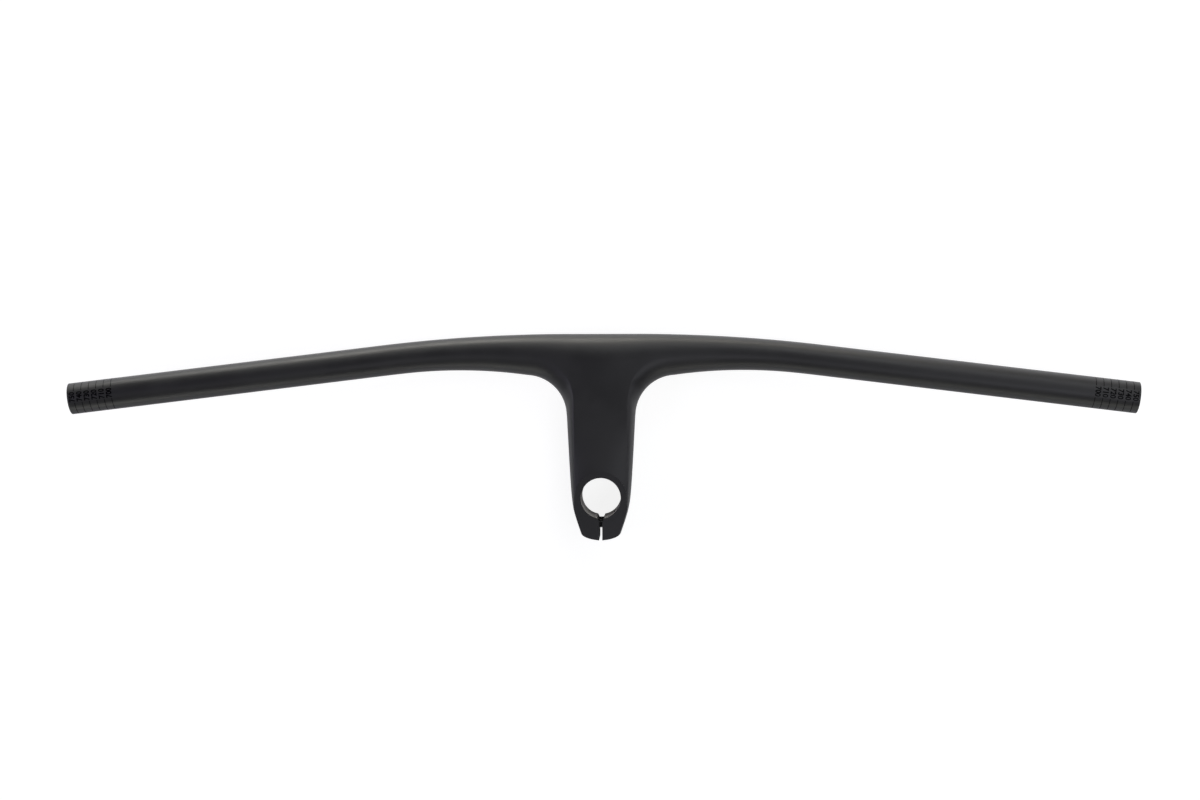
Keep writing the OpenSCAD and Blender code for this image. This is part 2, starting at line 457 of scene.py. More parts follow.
def soft_min(first: float, second: float, width: float) -> float:
    """The smaller of two values, rounded where they cross."""
    return (first + second - math.hypot(first - second, width)) / 2.0


def unit(v: np.ndarray) -> np.ndarray:
    """Scales a vector to length one."""
    return v / np.linalg.norm(v)


def rear_of(d: np.ndarray) -> np.ndarray:
    """Level direction square to the bar, towards the clamp."""
    return unit(np.array([d[1], -d[0], 0.0]))


@dataclass(frozen=True)
class Station:
    """One half section of the moulded shell, from the foot of its crest out to an edge.

    It runs along inner over the flat, and then along edge down to the edge of the shell.

    Attributes:
        foot: Point half way between the crest and the underside.
        inner: Direction out over the flat.
        edge: Direction from the end of the flat to the edge.
        up: Direction to the crest.
        front: Direction to the front edge.
        reach: Distance from the foot to the edge.
        front_reach: Distance from the foot to the front edge.
        half: Half height at the foot.
        flat: Length of the flat.
        fall: Power of the curve from the flat to the edge, where 2 is an ellipse.
        drop: How far the surface has come down at the edge.
        crown: Mid height and half height by place, where they vary over the section.
    """

    foot: np.ndarray
    inner: np.ndarray
    edge: np.ndarray
    up: np.ndarray
    front: np.ndarray
    reach: float
    front_reach: float
    half: float
    flat: float = 0.0
    fall: float = 2.0
    drop: float = 0.0
    crown: Callable[[float, float], tuple[float, float]] | None = None

    FLAT_SHARE: ClassVar[float] = 0.3
    BRINK_SHARE: ClassVar[float] = 0.25
    DROP_POWER: ClassVar[float] = 2.5

    def rear_points(self, count: int, crease: float) -> np.ndarray:
        """Points from the crest round the rear or flank edge to the underside.

        Args:
            count: Number of segments.
            crease: Full reach of the stem's flat top.

        Returns:
            One point a row.
        """
        quarter = count // 2
        on_flat = round(quarter * self.FLAT_SHARE)
        run = self.reach - self.flat
        rounding = 1 - ease(0.0, crease / 2, self.flat)
        brink = self.flat + self.BRINK_SHARE * run * rounding
        first = math.asin(((brink - self.flat) / run) ** (self.fall / 2))
        index = np.arange(count + 1)
        steps = np.minimum(index, count - index)
        past = np.maximum(steps - on_flat, 0)
        angle = first + (math.pi / 2 - first) * past / (quarter - on_flat)
        inner = brink * (1 - (1 - np.minimum(steps / on_flat, 1.0)) ** 2)
        outer = self.flat + run * np.sin(angle) ** (2 / self.fall)
        out = np.where(steps < on_flat, inner, outer)
        share = np.minimum(np.maximum(inner - self.flat, 0.0) / run, 1.0)
        rise = np.where(steps < on_flat, np.sqrt(1 - share**self.fall), np.cos(angle))
        rise = rise * np.where(index > quarter, -1.0, 1.0)
        plan = self.foot + np.outer(np.minimum(out, self.flat), self.inner)
        plan = plan + np.outer(np.maximum(out - self.flat, 0.0), self.edge)
        if self.crown is None:
            rise = rise * (self.half - self.drop * (out / self.reach) ** self.DROP_POWER)
            return plan + np.outer(rise, self.up)
        crown = np.array([self.crown(x, y) for x, y, _ in plan])
        plan[:, 2] = crown[:, 0] + rise * crown[:, 1]
        return plan

    def front_points(self, count: int) -> np.ndarray:
        """Points from the crest round the front edge to the underside.

        Args:
            count: Number of segments.

        Returns:
            One point a row.
        """
        angle = np.linspace(0.0, math.pi, count + 1)
        out = np.sin(angle).clip(0.0) * self.front_reach
        rise = np.cos(angle) * self.half
        return self.foot + np.outer(out, self.front) + np.outer(rise, self.up)


@dataclass
class MouldedShell:
    """The hollow bar, stem and split clamp, moulded in one piece.

    Its main sizes follow the part's source, and shoulder_drop is deeper here. The fields from
    bar_end_rows down aren't sizes of the object. They say how finely the skins are divided, how
    far the tools reach past them, and which faces count as honed or smooth.
    """

    material: bpy.types.Material
    bore_material: bpy.types.Material
    width: float = 760 * MM
    grip_r: float = 11.1 * MM
    grip_wall: float = 2.2 * MM
    backsweep: float = math.radians(7.0)
    upsweep: float = math.radians(5.0)
    front_flat: float = 25 * MM
    bend_end: float = 157 * MM
    bend_margin: float = 6 * MM
    swell_start: float = 142 * MM
    swell_depth: float = 18.2 * MM
    swell_rise: float = 4.4 * MM
    front_reach: float = 117.8 * MM
    bar_lift: float = 2 * MM
    blend_start: float = 52 * MM
    stem_half: float = 22 * MM
    stem_flare: float = 0.05
    crease_half: float = 18.8 * MM
    crease_edge: float = 0.65
    crease_rise: tuple[float, float] = (0.45, 0.7)
    crease_fade: tuple[float, float] = (0.8, 1.0)
    shell_wall: float = 2.6 * MM
    wall_run: float = 20 * MM
    bore_r: float = 14.3 * MM
    bore_chamfer: float = 0.4 * MM
    clamp_half: float = 20 * MM
    face_r: float = 18.7 * MM
    face_step: float = 0.4 * MM
    level_run: float = 4 * MM
    bore_wall: float = 5 * MM
    cavity_margin: float = 2 * MM
    shoulder_drop: float = 3.6 * MM
    shoulder_front: tuple[float, float] = (60 * MM, 22 * MM)
    shoulder_rear: tuple[float, float] = (-8 * MM, 6 * MM)
    ear_half: float = 24.3 * MM
    ear_taper: float = 0.37
    ear_blend: float = 3 * MM
    ear_edge: float = 1.2 * MM
    rear_reach: float = 30.2 * MM
    rear_round: float = 4.5 * MM
    rear_blunt: float = 0.05
    slot_w: float = 2.3 * MM
    vee_w: float = 5.6 * MM
    vee_overlap: float = 0.6 * MM
    bolt_back: float = 18.6 * MM
    bolt_pitch: float = 22 * MM
    bolt_hole_r: float = 3.3 * MM
    washer_hole_r: float = 5.3 * MM
    nut_hole_r: float = 4.7 * MM
    seat_x: float = 7.5 * MM
    lip_r: float = 0.3 * MM
    mouth_back: float = 0.4 * MM
    mouth_edge: tuple[tuple[float, float], ...] = ((0.1 * MM, 0.2 * MM), (0.0, 0.4 * MM))
    fan_split: float = 0.55
    flat_corner: float = 0.72
    bar_end_rows: int = 26
    bar_bend_rows: int = 34
    bar_fan_rows: int = 40
    stem_fan_rows: int = 34
    stem_rows: int = 22
    clamp_rows: int = 44
    rear_rows: int = 14
    lip_rows: int = 5
    rear_segs: int = 48
    front_segs: int = 36
    cavity_fineness: float = 0.6
    clamp_margin: float = 8 * MM
    tool_margin: float = 2 * MM
    facing_margin: float = 4 * MM
    face_sides: int = 144
    hole_sides: int = 48
    weld: float = 0.002 * MM
    honed_slack: float = 0.2 * MM
    honed_slope: float = 0.5
    smooth_angle: float = math.radians(32)

    def bend(self, x: float) -> float:
        """Drop of a curve that bends evenly and then runs straight at a slope of one.

        Args:
            x: Distance from the middle.

        Returns:
            The drop, before its slope is set.
        """
        if x <= self.front_flat:
            return 0.0
        if x < self.bend_end:
            return (x - self.front_flat) ** 2 / (2 * (self.bend_end - self.front_flat))
        return x - (self.front_flat + self.bend_end) / 2

    def swell(self, x: float) -> float:
        """Share of the bar's swell, which is level over the middle itself.

        Args:
            x: Distance from the middle.

        Returns:
            The share, from 1 at the middle to 0 where the swell starts.
        """
        if x >= self.swell_start:
            return 0.0
        if x >= self.blend_start:
            return (1 - x / self.swell_start) ** 2
        t = x / self.blend_start
        side = 1 - self.blend_start / self.swell_start
        slope = -2 * side * self.blend_start / self.swell_start
        return 1 + (side**2 - 1) * t * t * (3 - 2 * t) + slope * t * t * (t - 1)

    def bar_depth(self, x: float) -> float:
        """Depth of the bar, front to back."""
        return 2 * self.grip_r + self.swell_depth * self.swell(x)

    def bar_half(self, x: float) -> float:
        """Half height of the bar."""
        return self.grip_r + self.swell_rise * self.swell(x)

    def crest(self, x: float) -> np.ndarray:
        """Point under the crest of the bar."""
        y = self.front_reach - math.tan(self.backsweep) * self.bend(x) - self.bar_depth(x) / 2
        return np.array([x, y, self.bar_lift + math.tan(self.upsweep) * self.bend(x)])

    def direction(self, x: float) -> np.ndarray:
        """Direction of the bar, outwards."""
        step = 0.01 * MM
        return unit(self.crest(x + step) - self.crest(x - step))

    @property
    def end_x(self) -> float:
        """Distance from the middle to the centre of a bar end."""
        d = self.direction(self.width / 2 - self.grip_r)
        return self.width / 2 - self.grip_r * math.sqrt(1 - d[0] ** 2)

    def bar_station(self, x: float, inset: float) -> Station:
        """A section square to the bar.

        Args:
            x: Distance from the middle.
            inset: Depth of the skin under the outer surface.

        Returns:
            The section.
        """
        d = self.direction(x)
        edge = rear_of(d)
        reach = self.bar_depth(x) / 2 - inset
        return Station(
            foot=self.crest(x),
            inner=edge,
            edge=edge,
            up=np.cross(edge, d),
            front=-edge,
            reach=reach,
            front_reach=reach,
            half=self.bar_half(x) - inset,
        )

    def blend_arc(self) -> tuple[np.ndarray, float, float, float]:
        """The inner blend as an arc.

        Returns:
            Its centre, its radius, its first angle and its turn.
        """
        d = self.direction(self.blend_start)
        start = self.crest(self.blend_start) + rear_of(d) * self.bar_depth(self.blend_start) / 2
        inward = math.atan2(-d[1], -d[0]) % (2 * math.pi)
        turn = 1.5 * math.pi - math.atan(self.stem_flare) - inward
        outward = inward + math.pi
        run = (start[0] - self.stem_half - self.stem_flare * start[1]) / (
            math.cos(outward) - self.stem_flare * math.sin(outward)
        )
        radius = run / math.tan(turn / 2)
        side = inward + math.pi / 2
        centre = start[:2] + radius * np.array([math.cos(side), math.sin(side)])
        return centre, radius, inward - math.pi / 2, turn

    @property
    def blend_y(self) -> float:
        """Place down the stem where the inner blend ends."""
        centre, radius, first, turn = self.blend_arc()
        return float(centre[1] + radius * math.sin(first + turn))

    def flat_edge(self, share: float) -> np.ndarray:
        """Edge of the stem's flat top, which swings out to the bar's crest round the blend.

        Args:
            share: Place round the blend, from 0 at the bar to 1 at the stem.

        Returns:
            The place in the plan.
        """
        start = self.crest(self.blend_start)[:2]
        end = np.array([self.crease_half, self.blend_y])
        corner = np.array([self.crease_half, float(self.crest(self.crease_half)[1])])
        near = start + self.flat_corner * (corner - start)
        far = end + self.flat_corner * (corner - end)
        back = 1 - share
        return (
            back**3 * start
            + 3 * back**2 * share * near
            + 3 * back * share**2 * far
            + share**3 * end
        )

    def crown(self, x: float, y: float) -> tuple[float, float]:
        """Heights where the bar's crown turns into the stem's.

        Args:
            x: Distance from the middle.
            y: Place along the stem.

        Returns:
            Mid height and half height.
        """
        share = ease(float(self.crest(0.0)[1]), self.blend_y, y)
        share *= 1 - ease(self.crease_half, self.blend_start, x)
        middle = float(self.crest(x)[2])
        middle += (float(self.stem_foot(y)[2]) - middle) * share
        half = self.bar_half(x)
        return middle, half + (self.stem_half_height(y) - half) * share

    def spoke_station(self, foot: np.ndarray, share: float, inset: float) -> Station:
        """A section that fans round the inner blend.

        Args:
            foot: Point under the crest that the section starts from.
            share: Place round the blend, from 0 at the bar to 1 at the stem.
            inset: Depth of the skin under the outer surface.

        Returns:
            The section.
        """
        centre, radius, first, turn = self.blend_arc()
        angle = first + turn * share
        tip = centre + (radius + inset) * np.array([math.cos(angle), math.sin(angle)])
        brow = self.flat_edge(share)
        run = np.array([*(tip - brow), 0.0])
        over = np.array([*(brow - foot[:2]), 0.0])
        flat = float(np.linalg.norm(over))
        sharp = ease(*self.crease_rise, share) * (1 - ease(*self.crease_fade, share))
        middle, half = self.crown(foot[0], foot[1])

        def crown_inside(x: float, y: float) -> tuple[float, float]:
            """The crown, drawn in by the inset."""
            mid_height, half_height = self.crown(x, y)
            return mid_height, half_height - inset

        return Station(
            foot=np.array([foot[0], foot[1], middle]),
            inner=over / flat if flat > TINY else unit(run),
            edge=unit(run),
            up=np.array([0.0, 0.0, 1.0]),
            front=np.array([0.0, 1.0, 0.0]),
            reach=flat + float(np.linalg.norm(run)),
            front_reach=self.bar_depth(foot[0]) / 2 - inset,
            half=half - inset,
            flat=flat,
            fall=2 - self.crease_edge * sharp,
            crown=crown_inside,
        )

    def half_width(self, y: float) -> float:
        """Half width of the stem and the clamp ears.

        Args:
            y: Place along the stem.

        Returns:
            Distance from the middle plane to the flank.
        """
        flank = self.stem_half + self.stem_flare * y
        ear = self.ear_half + self.ear_taper * y
        wide = soft_min(flank, ear, self.ear_blend)
        start = self.rear_round - self.rear_reach
        if y > start:
            return wide
        return wide * math.sqrt(max(1 - ((start - y) / self.rear_round) ** 2, self.rear_blunt))

    def stem_share(self, y: float) -> float:
        """How far the stem has changed from the bar's height to the clamp's."""
        return ease(float(self.crest(0.0)[1]), self.face_r + self.level_run, y)

    def stem_half_height(self, y: float) -> float:
        """Half height of the stem."""
        low = self.bar_half(0.0)
        return low + (self.clamp_half + self.face_step - low) * self.stem_share(y)

    def stem_foot(self, y: float) -> np.ndarray:
        """Point on the middle plane, half way up the stem."""
        return np.array([0.0, y, self.bar_lift * (1 - self.stem_share(y))])

    def stem_station(self, y: float, inset: float) -> Station:
        """A section square to the stem.

        Args:
            y: Place along the stem.
            inset: Depth of the skin under the outer surface.

        Returns:
            The section.
        """
        wide = self.half_width(y)
        reach = wide - inset
        edge = np.array([1.0, 0.0, 0.0])
        return Station(
            foot=self.stem_foot(y),
            inner=edge,
            edge=edge,
            up=np.array([0.0, 0.0, 1.0]),
            front=np.array([0.0, 1.0, 0.0]),
            reach=reach,
            front_reach=0.0,
            half=self.stem_half_height(y) - inset,
            flat=min(self.crease_half, wide - self.ear_edge) * reach / wide,
            drop=self.shoulder_drop * ease(*self.shoulder_front, y) * ease(*self.shoulder_rear, y),
        )

    def skin(
        self, lead: list[Station], walls: tuple[float, float], last_y: float, fine: float
    ) -> tuple[list[Station], int]:
        """All the stations of one skin, from a bar end to the stem's last row.

        Args:
            lead: Stations at the bar's mouth that come before the tube.
            walls: Inset at the grip tube and in the stem.
            last_y: The last row down the stem.
            fine: Scale on the number of stations.

        Returns:
            The stations, and the place in them of the one on the middle plane.
        """
        grip, stem = walls
        made = list(lead)
        lip = self.end_x - self.lip_r
        start = self.bend_end + self.bend_margin
        run = start - self.end_x + self.lip_r
        count = scaled(self.bar_end_rows, fine)
        made += [self.bar_station(lip + run * i / count, grip) for i in range(count)]
        count = scaled(self.bar_bend_rows, fine)
        for i in range(count + 1):
            x = start + (self.blend_start - start) * i / count
            wall = grip + (stem - grip) * ease(start, start - self.wall_run, x)
            made.append(self.bar_station(x, wall))
        count = scaled(self.bar_fan_rows, fine)
        for i in range(1, count + 1):
            x = self.blend_start * (1 - i / count)
            made.append(self.spoke_station(self.crest(x), self.fan_split * i / count, stem))
        middle = len(made) - 1
        top_y = float(self.crest(0.0)[1])
        count = scaled(self.stem_fan_rows, fine)
        for i in range(1, count + 1):
            t = i / count
            foot = self.stem_foot(top_y + (self.blend_y - top_y) * t)
            share = self.fan_split + (1 - self.fan_split) * t
            made.append(self.spoke_station(foot, share, stem))
        for y in self._stem_rows(fine):
            if y >= last_y - TINY:
                made.append(self.stem_station(y, stem))
        return made, middle

    def _stem_rows(self, fine: float) -> Iterator[float]:
        """Rows down the straight stem, through the clamp and round its rear end.

        Args:
            fine: Scale on the number of rows.

        Yields:
            The place of each row along the stem.
        """
        clamp_top = self.face_r + self.clamp_margin
        round_y = self.rear_round - self.rear_reach
        count = scaled(self.stem_rows, fine)
        for i in range(1, count + 1):
            yield self.blend_y + (clamp_top - self.blend_y) * i / count
        count = scaled(self.clamp_rows, fine)
        for i in range(1, count + 1):
            yield clamp_top + (round_y - clamp_top) * i / count
        count = scaled(self.rear_rows, fine)
        for i in range(1, count + 1):
            yield round_y - self.rear_round * math.sin(math.pi / 2 * i / count)

    def _mouth(self) -> list[Station]:
        """Stations over the rounded lip of a bar end.

        Returns:
            The stations, from the edge of the tube's bore outwards.
        """
        made = [self._mouth_station(self.mouth_back, self.grip_wall)]
        for back, depth in self.mouth_edge:
            made.append(self._mouth_station(back, self.grip_wall - depth))
        for i in range(self.lip_rows):
            angle = math.pi / 2 * i / self.lip_rows
            back = self.lip_r * (1 - math.cos(angle))
            made.append(self._mouth_station(back, self.lip_r * (1 - math.sin(angle))))
        return made

    def _mouth_station(self, back: float, inset: float) -> Station:
        """A section near the bar's end, set back from it along the tube."""
        d = self.direction(self.end_x)
        return self.bar_station(self.end_x - back * d[0], inset)

    def build(self) -> bpy.types.Object:
        """Builds the shell, cuts the clamp and dresses it.

        Returns:
            The finished piece, riding on the frame.
        """
        bm = bmesh.new()
        self._add_skin(bm, *self.skin(self._mouth(), (0.0, 0.0), -self.rear_reach, 1.0))
        lead = [self._mouth_station(self.mouth_back, self.grip_wall)]
        cavity_y = self.bore_r + self.bore_wall + self.cavity_margin
        walls = (self.grip_wall, self.shell_wall)
        self._add_skin(bm, *self.skin(lead, walls, cavity_y, self.cavity_fineness))
        bmesh.ops.remove_doubles(bm, verts=bm.verts, dist=self.weld)
        bmesh.ops.holes_fill(bm, edges=[e for e in bm.edges if e.is_boundary], sides=0)
        bmesh.ops.recalc_face_normals(bm, faces=bm.faces)
        piece = add_mesh("moulded_bar_stem", bm)
        ring = [(self.face_r, -self.clamp_half), (self.face_r, self.clamp_half)]
        combine(piece, [turned("faced_ring", ring, self.face_sides)], Join.ADD)
        combine(piece, self._cutters(), Join.CUT)
        shade_smooth(piece, self.smooth_angle)
        self._dress(piece.data)
        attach(piece, "root")
        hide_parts("bar_stem")
        return piece

    def _dress(self, data: bpy.types.Mesh) -> None:
        """Lacquers the shell, and gives the wall of the steerer bore its bare laminate colour,
        which is pale partly because a reflection of the white floor is painted into it.

        Args:
            data: The shell's mesh.
        """
        data.materials.clear()
        data.materials.append(self.material)
        data.materials.append(self.bore_material)
        for face in data.polygons:
            radius = math.hypot(face.center.x, face.center.y)
            upright = abs(face.normal.z) < self.honed_slope
            # Faces picked here get the pale bore colour, which is partly painted reflection of the
            # white floor.
            honed = upright and abs(radius - self.bore_r) < self.honed_slack
            face.material_index = int(honed)

    def _add_skin(self, bm: bmesh.types.BMesh, stations: list[Station], middle: int) -> None:
        """Adds both sides of a skin as quads.

        Args:
            bm: The mesh to add to.
            stations: The skin's sections, from a bar end to the last row of the stem.
            middle: The place of the section on the middle plane.
        """
        rear_rows = np.array([s.rear_points(self.rear_segs, self.crease_half) for s in stations])
        front_rows = np.array([s.front_points(self.front_segs) for s in stations[: middle + 1]])
        for side in Side:
            mirror = np.array([side.value, 1.0, 1.0])
            for rows in (rear_rows * mirror, front_rows * mirror):
                grid = [[bm.verts.new(p) for p in row] for row in rows]
                for a, b in zip(grid, grid[1:]):
                    for j in range(len(a) - 1):
                        bm.faces.new((a[j], b[j], b[j + 1], a[j + 1]))

    def _cutters(self) -> list[bpy.types.Object]:
        """Solids that cut the faces, the bore, the slot and the bolt holes.

        Returns:
            The tool solids, in the order in which they cut.
        """
        made = [self._facing(ClampEnd.TOP), self._facing(ClampEnd.BOTTOM)]
        made += [self._bore_cutter(), self._slot_cutter()]
        made += [self._bolt_cutter(z) for z in (-self.bolt_pitch / 2, self.bolt_pitch / 2)]
        return made

    def _bore_cutter(self) -> bpy.types.Object:
        """The steerer bore with a chamfer at each end.

        Returns:
            The tool solid.
        """
        tall = self.clamp_half + self.tool_margin
        flare = self.bore_chamfer + self.tool_margin
        profile = [
            (self.bore_r + flare, -tall),
            (self.bore_r, -self.clamp_half + self.bore_chamfer),
            (self.bore_r, self.clamp_half - self.bore_chamfer),
            (self.bore_r + flare, tall),
        ]
        return turned("bore_cutter", profile, self.face_sides)

    def _slot_cutter(self) -> bpy.types.Object:
        """The rear slot, which opens in a V at the bore.

        Returns:
            The tool solid.
        """
        tall = self.clamp_half + self.tool_margin
        half = self.slot_w / 2
        back = self.rear_reach + self.tool_margin
        throat = self.bore_r + self.vee_w / 2
        mouth = self.bore_r - self.vee_overlap
        outline = [
            (-half, -back),
            (half, -back),
            (half, -throat),
            (self.vee_w / 2, -mouth),
            (-self.vee_w / 2, -mouth),
            (-half, -throat),
        ]
        return extruded("slot_cutter", outline, -tall, tall)

    def _bolt_cutter(self, z: float) -> bpy.types.Object:
        """The stepped hole for one bolt, its washer and its nut.

        Args:
            z: Height of the bolt.

        Returns:
            The tool solid.
        """
        reach = self.ear_half + self.tool_margin
        steps = [
            (self.washer_hole_r, -reach),
            (self.washer_hole_r, -self.seat_x),
            (self.bolt_hole_r, -self.seat_x),
            (self.bolt_hole_r, self.seat_x),
            (self.nut_hole_r, self.seat_x),
            (self.nut_hole_r, reach),
        ]
        hole = turned("bolt_cutter", steps, self.hole_sides)
        hole.rotation_euler = (0.0, math.pi / 2, 0.0)
        hole.location = (0.0, -self.bolt_back, z)
        return hole

    def _facing(self, end: ClampEnd) -> bpy.types.Object:
        """The cut that leaves a flat ring and flat ears at one end of the clamp.

        Args:
            end: The end to cut.

        Returns:
            The tool solid.
        """
        half = self.stem_half + self.facing_margin
        back = self.rear_reach + self.tool_margin
        points = [(-half, 0.0), (-half, -back), (half, -back), (half, 0.0), (self.face_r, 0.0)]
        count = self.face_sides // 2
        for i in range(1, count + 1):
            angle = math.pi * i / count
            points.append((self.face_r * math.cos(angle), self.face_r * math.sin(angle)))
        face = end.value * self.clamp_half
        past = end.value * (self.clamp_half + self.facing_margin)
        return extruded("facing_cutter", points, min(face, past), max(face, past))


def add_mesh(name: str, bm: bmesh.types.BMesh) -> bpy.types.Object:
    """Turns a bmesh into a linked object and frees it.

    Args:
        name: Name of the object and its mesh.
        bm: The mesh to use up.

    Returns:
        The new object.
    """
    data = bpy.data.meshes.new(name)
    bm.to_mesh(data)
    bm.free()
    made = bpy.data.objects.new(name, data)
    bpy.context.scene.collection.objects.link(made)
    return made


def turned(name: str, profile: Sequence[tuple[float, float]], sides: int) -> bpy.types.Object:
    """A solid of revolution about Z, closed at both ends.

    Args:
        name: Name of the object.
        profile: Pairs of radius and height, from the bottom up.
        sides: Number of flats round the axis.

    Returns:
        The new object.
    """
    bm = bmesh.new()
    angles = [2 * math.pi * i / sides for i in range(sides)]
    rings = [
        [bm.verts.new((radius * math.cos(a), radius * math.sin(a), height)) for a in angles]
        for radius, height in profile
    ]
    for low, high in zip(rings, rings[1:]):
        for i in range(sides):
            j = (i + 1) % sides
            bm.faces.new((low[i], low[j], high[j], high[i]))
    bm.faces.new(reversed(rings[0]))
    bm.faces.new(rings[-1])
    bmesh.ops.recalc_face_normals(bm, faces=bm.faces)
    return add_mesh(name, bm)


def extruded(
    name: str, outline: Sequence[tuple[float, float]], low: float, high: float
) -> bpy.types.Object:
    """A prism along Z.

    Args:
        name: Name of the object.
        outline: Its corners in the XY plane.
        low: Height of its bottom.
        high: Height of its top.

    Returns:
        The new object.
    """
    bm = bmesh.new()
    bottom = [bm.verts.new((x, y, low)) for x, y in outline]
    top = [bm.verts.new((x, y, high)) for x, y in outline]
    bm.faces.new(reversed(bottom))
    bm.faces.new(top)
    for i in range(len(outline)):
        j = (i + 1) % len(outline)
        bm.faces.new((bottom[i], bottom[j], top[j], top[i]))
    bmesh.ops.recalc_face_normals(bm, faces=bm.faces)
    return add_mesh(name, bm)


def combine(piece: bpy.types.Object, tools: Sequence[bpy.types.Object], join: Join) -> None:
    """Adds tool solids to a piece, or takes them out of it, and deletes the tools.

    Args:
        piece: The piece to change.
        tools: The tool solids.
        join: What the tools do to the piece.
    """
    bpy.context.view_layer.update()
    for tool in tools:
        step = piece.modifiers.new("step", "BOOLEAN")
        step.operation = join.value
        step.solver = "EXACT"
        step.object = tool
    graph = bpy.context.evaluated_depsgraph_get()
    result = bpy.data.meshes.new_from_object(piece.evaluated_get(graph))
    old = piece.data
    piece.modifiers.clear()
    piece.data = result
    bpy.data.meshes.remove(old)
    for tool in tools:
        bpy.data.objects.remove(tool)


def shade_smooth(piece: bpy.types.Object, angle: float) -> None:
    """Shades a piece smooth.

    Args:
        piece: The piece to shade.
        angle: Edges that turn by more than this stay sharp.
    """
    data = piece.data
    data.polygons.foreach_set("use_smooth", [True] * len(data.polygons))
    data.set_sharp_from_angle(angle=angle)


@dataclass
class WidthScale:
    """Rings and numbers printed round a grip tube, to cut the bar by."""

    shell: MouldedShell
    side: Side
    material: bpy.types.Material
    labels: tuple[str, ...] = ("750", "740", "730", "720", "710", "700")
    first_ring: float = 4.9 * MM
    ring_pitch: float = 5.2 * MM
    ring_width: float = 0.42 * MM
    ring_sides: int = 96
    ring_gap: float = 0.6 * MM
    film: float = 0.03 * MM
    digit_height: float = 4.1 * MM
    label_length: float = 7.2 * MM
    label_set: float = 0.75 * MM
    label_turn: float = math.radians(4.2)
    curve_steps: int = 4
    stroke_gain: float = 0.03
    weld: float = 1e-4
    smooth_angle: float = math.radians(40)

    def build(self) -> bpy.types.Object:
        """Builds the rings and numbers of one side as one thin piece.

        Returns:
            The finished piece, riding on the frame.
        """
        bm = bmesh.new()
        for index, label in enumerate(self.labels):
            back = self.first_ring + self.ring_pitch * index
            self._add_ring(bm, back)
            self._add_label(bm, label, back - self.ring_width / 2 + self.label_set)
        bmesh.ops.recalc_face_normals(bm, faces=bm.faces)
        made = add_mesh(f"width_scale_{self.side.name.lower()}", bm)
        shade_smooth(made, self.smooth_angle)
        made.data.materials.append(self.material)
        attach(made, "root")
        return made

    def _place(self, back: float, arc: float, lift: float) -> Vector:
        """A point on the tube.

        Args:
            back: Distance from the tube's end.
            arc: Angle forward of the top, in radians.
            lift: Height above the surface.

        Returns:
            The point.
        """
        x = self.shell.end_x
        d = self.shell.direction(x)
        rear = rear_of(d)
        up = np.cross(rear, d)
        r = self.shell.grip_r + lift
        p = self.shell.crest(x) - d * back + r * (up * math.cos(arc) - rear * math.sin(arc))
        return Vector((p[0] * self.side.value, p[1], p[2]))

    def _add_ring(self, bm: bmesh.types.BMesh, back: float) -> None:
        """Adds one band round the tube, broken where its number stands.

        Args:
            bm: The mesh to add to.
            back: Distance of its middle from the tube's end.
        """
        half = self.ring_width / 2
        corners = [(back - half, self.film), (back + half, self.film)]
        corners += [(back + half, -self.film), (back - half, -self.film)]
        start = self.label_turn + (self.label_length / 2 + self.ring_gap) / self.shell.grip_r
        turn = 2 * (math.pi + self.label_turn - start)
        rings = []
        for i in range(self.ring_sides + 1):
            arc = start + turn * i / self.ring_sides
            rings.append([bm.verts.new(self._place(b, arc, lift)) for b, lift in corners])
        for here, after in zip(rings, rings[1:]):
            for k in range(4):
                m = (k + 1) % 4
                bm.faces.new((here[k], here[m], after[m], after[k]))
        bm.faces.new(rings[0])
        bm.faces.new(reversed(rings[-1]))

    def _letters(self, label: str) -> bmesh.types.BMesh:
        """A number as a flat prism, in the font's own units and from -0.5 to 0.5 in height.

        Args:
            label: The number.

        Returns:
            Its mesh, which the caller frees.
        """
        curve = bpy.data.curves.new("label", "FONT")
        curve.body = label
        curve.align_x = "CENTER"
        curve.size = 1.0
        curve.resolution_u = self.curve_steps
        curve.extrude = 0.5
        curve.offset = self.stroke_gain
        holder = bpy.data.objects.new("label", curve)
        bpy.context.scene.collection.objects.link(holder)
        graph = bpy.context.evaluated_depsgraph_get()
        data = bpy.data.meshes.new_from_object(holder.evaluated_get(graph))
        text = bmesh.new()
        text.from_mesh(data)
        bpy.data.objects.remove(holder)
        bpy.data.curves.remove(curve)
        bpy.data.meshes.remove(data)
        bmesh.ops.remove_doubles(text, verts=text.verts, dist=self.weld)
        bmesh.ops.triangulate(text, faces=text.faces)
        bmesh.ops.subdivide_edges(text, edges=text.edges, cuts=1, use_grid_fill=True)
        return text

    def _add_label(self, bm: bmesh.types.BMesh, label: str, back: float) -> None:
        """Adds one number, with its head towards the bar's end.

        Args:
            bm: The mesh to add to.
            label: The number.
            back: Distance of its feet from the tube's end.
        """
        text = self._letters(label)
        xs = [v.co.x for v in text.verts]
        ys = [v.co.y for v in text.verts]
        centre = (min(xs) + max(xs)) / 2
        wide = self.label_length / (max(xs) - min(xs))
        tall = self.digit_height / (max(ys) - min(ys))
        foot = min(ys)
        placed = {}
        for v in text.verts:
            run = (v.co.x - centre) * wide / self.shell.grip_r * -self.side.value
            lift = 2 * self.film * v.co.z
            spot = self._place(back - (v.co.y - foot) * tall, run + self.label_turn, lift)
            placed[v] = bm.verts.new(spot)
        for face in text.faces:
            bm.faces.new([placed[v] for v in face.verts])
        text.free()


